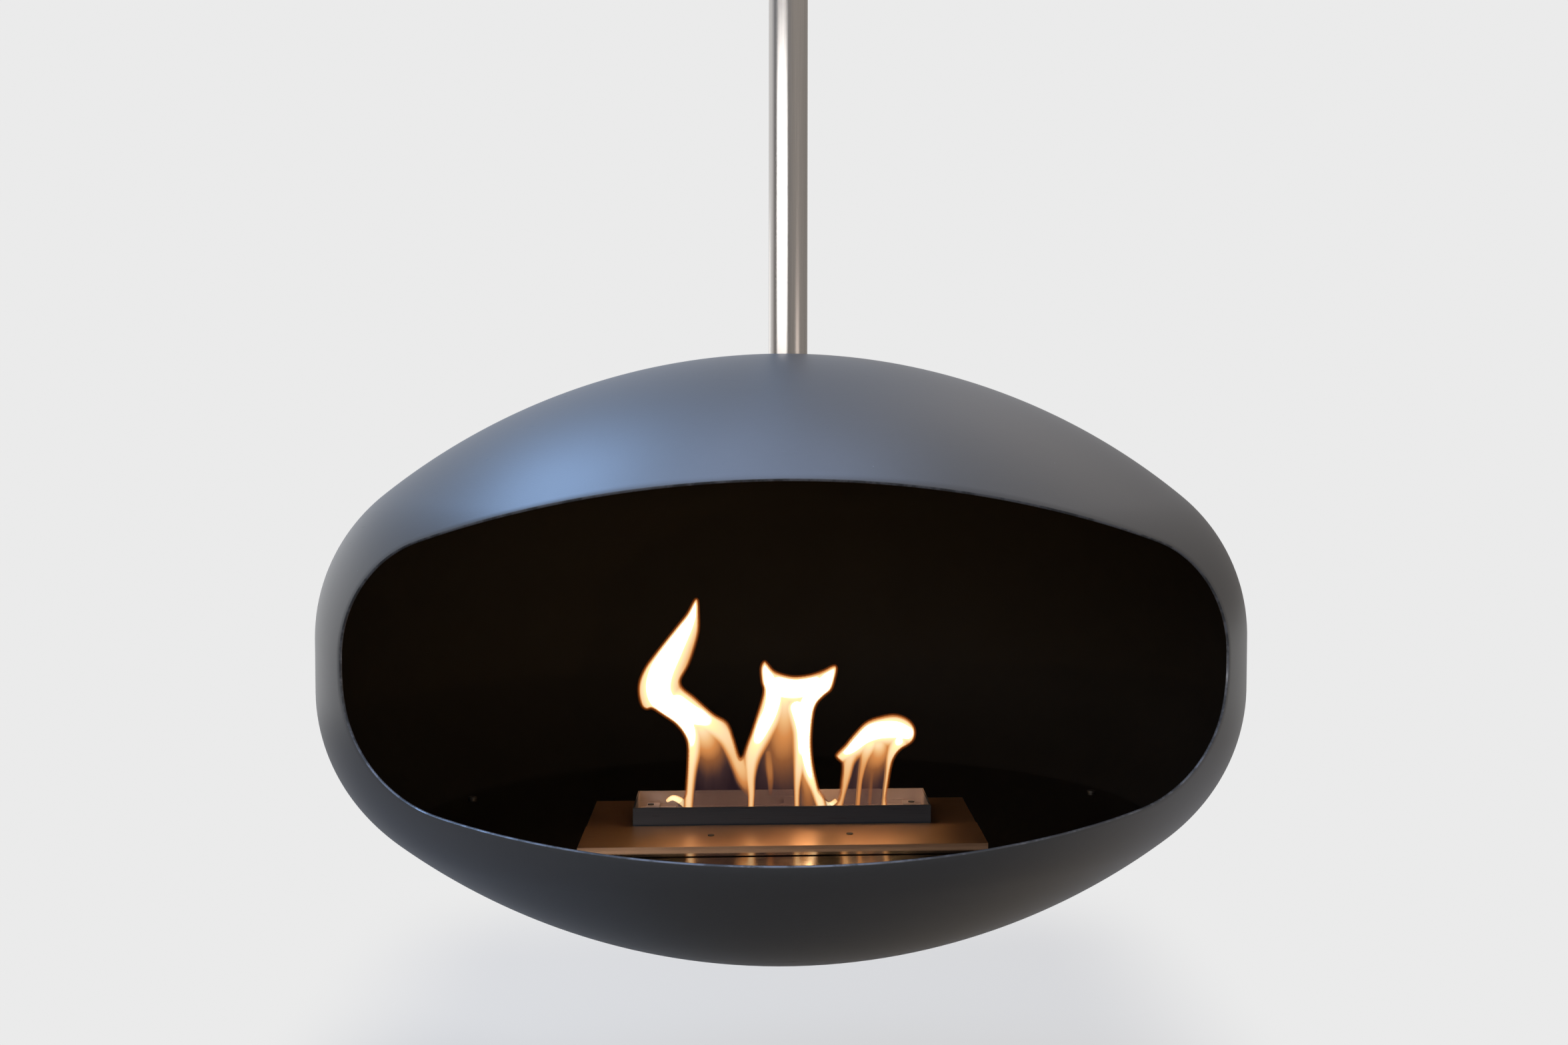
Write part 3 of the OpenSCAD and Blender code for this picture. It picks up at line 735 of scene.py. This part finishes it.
def flameHalo(layer, share):
    material, f = newMaterial("flame_" + layer)
    heat = f.node("ShaderNodeAttribute", {"attribute_name": heatLayer}, output="Fac")
    glowing(f, fire["haloColour"], fire["haloStrength"], share * f.step(heat, *fire["haloFrom"]))
    return material


flameMaterial = flameBody()
haloMaterials = {layer: flameHalo(layer, halo["share"]) for layer, halo in halos.items()}
makeFlame("tall_flame", tallOutline, tallStrokes, tallGas, flameMaterial, haloMaterials)
makeFlame("low_flame", lowOutline, lowStrokes, lowGas, flameMaterial, haloMaterials)
for name, stations in tongues.items():
    makeTongue(name, stations, flameMaterial)
print("flames made")


# The camera is aimed to the right of the fireplace, and its picture is cropped round it.
# Its rise is above the shell's centre.
photo = dict(side=-0.0366, distance=2.2, rise=0.2556, yaw=4.468, pitch=-2.942, roll=0.239,
             lens=45.88, sensor=36, shift=-0.0806)


def makeCamera():
    data = bpy.data.cameras.new("camera")
    data.lens = photo["lens"]
    data.sensor_width = photo["sensor"]
    data.sensor_fit = "HORIZONTAL"
    data.shift_x = photo["shift"]
    camera = bpy.data.objects.new("camera", data)
    bpy.context.scene.collection.objects.link(camera)
    turn = (Matrix.Rotation(-math.radians(photo["yaw"]), 4, "Z")
            @ Matrix.Rotation(math.radians(90 + photo["pitch"]), 4, "X")
            @ Matrix.Rotation(math.radians(photo["roll"]), 4, "Z"))
    place = (photo["side"], -photo["distance"], shellCentre + photo["rise"])
    camera.matrix_world = Matrix.Translation(place) @ turn
    bpy.context.scene.camera = camera


# Fades are distances from the pole's axis, beside and behind the fireplace
studio = dict(background=(0.83, 0.83, 0.83), floorDrop=0.62, floorSize=24.0,
              fadeBeside=(0.42, 0.74), fadeBehind=(1.0, 1.6), shadowShare=0.46,
              # The lit floor's colour turns brighter and warmer behind on the right: a painted pool of
              # light, which the shell mirrors
              floorNear=(0.27, 0.26, 0.25), floorWarmPool=(0.62, 0.55, 0.46), farAcross=0.7,
              farFrom=(-0.15, 0.45), mirroredFrom=(1.3, 3.4))


# The floor shows the plain background. Near the fireplace the darker lit floor is mixed in, a painted shadow
# over a strip that holds the lamps' real shadows.
# It mirrors as plain background far behind, and from below it can't be seen.
def makeFloor():
    bpy.ops.mesh.primitive_plane_add(size=studio["floorSize"],
                                     location=(0, 0, shellCentre - studio["floorDrop"]))
    floor = namedPiece("floor")
    settle(floor)
    material, f = newMaterial("pale_floor")
    rays = f.node("ShaderNodeLightPath")
    x, y, z = f.axes(f.node("ShaderNodeTexCoord", output="Object"))
    # Painted shadow: a strip near the fireplace shows the darker lit floor
    beside = f.step(f.maths("ABSOLUTE", x), *studio["fadeBeside"])
    behind = f.step(f.maths("ABSOLUTE", y), *studio["fadeBehind"])
    near = (1 - beside) * (1 - behind)
    mirrored = rays.sibling("Is Glossy Ray") * f.step(y, *studio["mirroredFrom"])
    plain = f.node("ShaderNodeEmission", None, {"Color": (*studio["background"], 1)})
    # Painted pool of light: the lit floor is brighter and warmer behind on the right
    far = f.step(studio["farAcross"] * x + y, *studio["farFrom"])
    lit = f.node("ShaderNodeBsdfDiffuse", None,
                 {"Color": f.blend(far, studio["floorNear"], studio["floorWarmPool"])})
    seen = rays.sibling("Is Camera Ray") * (1 - near * studio["shadowShare"])
    above = f.node("ShaderNodeMixShader", None, {0: f.maths("MAXIMUM", seen, mirrored), 1: lit, 2: plain})
    fromBelow = f.node("ShaderNodeNewGeometry", output="Backfacing")
    clear = f.node("ShaderNodeBsdfTransparent")
    shown = f.node("ShaderNodeMixShader", None, {0: fromBelow, 1: above, 2: clear})
    f.node("ShaderNodeOutputMaterial", None, {"Surface": shown})
    floor.data.materials.append(material)


# How bright the room is as the paint and metal see it, and where in the direction
# of sight its parts begin
room = dict(frontLeft=0.22, frontRight=0.34, behindLeft=0.83, behindRight=0.30, above=0.75,
            behindFrom=(-0.1, 0.6), rightFrom=(-0.1, 0.5), aboveFrom=(0.12, 0.65),
            blue=(0.62, 0.76, 1.0), neutral=(1.0, 0.93, 0.87),
            neutralFrom=(-0.6, 0.6), blueFrom=(0.0, 0.5))


# The room is brightest behind the fireplace on the left, blue above there, and dark in
# front on the left. The camera sees the plain background instead.
def makeWorld():
    world = bpy.data.worlds.new("room")
    world.use_nodes = True
    bpy.context.scene.world = world
    f = Finish(world.node_tree)
    x, y, z = f.axes(f.node("ShaderNodeTexCoord", output="Generated"))
    behind = f.step(y, *room["behindFrom"])
    right = f.step(x, *room["rightFrom"])
    above = f.step(z, *room["aboveFrom"])
    blueness = (1 - f.step(x, *room["neutralFrom"])) * f.step(z, *room["blueFrom"])
    tint = f.blend(blueness, room["neutral"], room["blue"])
    front = room["frontLeft"] + right * (room["frontRight"] - room["frontLeft"])
    back = room["behindLeft"] + right * (room["behindRight"] - room["behindLeft"])
    level = (front + behind * (back - front)) * (1 - above) + above * room["above"]
    around = f.node("ShaderNodeBackground", None, {"Color": tint, "Strength": level})
    plain = f.node("ShaderNodeBackground", None, {"Color": (*studio["background"], 1)})
    rays = f.node("ShaderNodeLightPath")
    seen = f.maths("MAXIMUM", rays.sibling("Is Camera Ray"), rays.sibling("Is Transmission Ray"))
    mirrored = rays.sibling("Is Glossy Ray") * behind * (1 - above) * (1 - right)
    mixed = f.node("ShaderNodeMixShader", None, {0: f.maths("MAXIMUM", seen, mirrored), 1: around, 2: plain})
    f.node("ShaderNodeOutputWorld", None, {"Surface": mixed})


# Area lamps, with heights above the shell's centre. Each points at the pole's axis, at
# the shell's centre or as far above it as aim says.
lamps = {
    "window": dict(power=50, colour=(0.34, 0.57, 1.0), place=(-1.47, 0.81, 2.43), size=(1.3, 0.9)),
    "side_window": dict(power=4, colour=(1.0, 1.0, 1.0), place=(-2.2, 2.6, 0.1), size=(1.6, 1.4)),
    "ceiling_left": dict(power=33, colour=(0.47, 0.63, 1.0), place=(-0.14, 0.1, 2.45), size=(1.5, 1.3)),
    "ceiling_right": dict(power=3, colour=(1.0, 0.90, 0.80), place=(1.2, 1.5, 2.0), size=(1.6, 1.3)),
    "strip": dict(power=30, colour=(1.0, 0.98, 0.97), place=(-1.72, -2.2, 0.8), size=(3.3, 0.6), aim=0.6),
    "fill": dict(power=5, colour=(1.0, 0.86, 0.78), place=(2.4, -1.6, -0.1), size=(1.2, 1.2)),
}


def addLamp(name, power, colour, place, size, aim=0.0):
    data = bpy.data.lights.new(name, "AREA")
    data.energy = power
    data.color = colour
    data.shape = "RECTANGLE"
    data.size, data.size_y = size
    lamp = bpy.data.objects.new(name, data)
    bpy.context.scene.collection.objects.link(lamp)
    lamp.location = (place[0], place[1], shellCentre + place[2])
    away = Vector((0, 0, shellCentre + aim)) - Vector(lamp.location)
    lamp.rotation_euler = away.to_track_quat("-Z", "Y").to_euler()
    lamp.visible_camera = False


makeCamera()
makeFloor()
makeWorld()
for name, lamp in lamps.items():
    addLamp(name, **lamp)
bpy.context.scene.view_settings.view_transform = "Standard"
print("studio made")
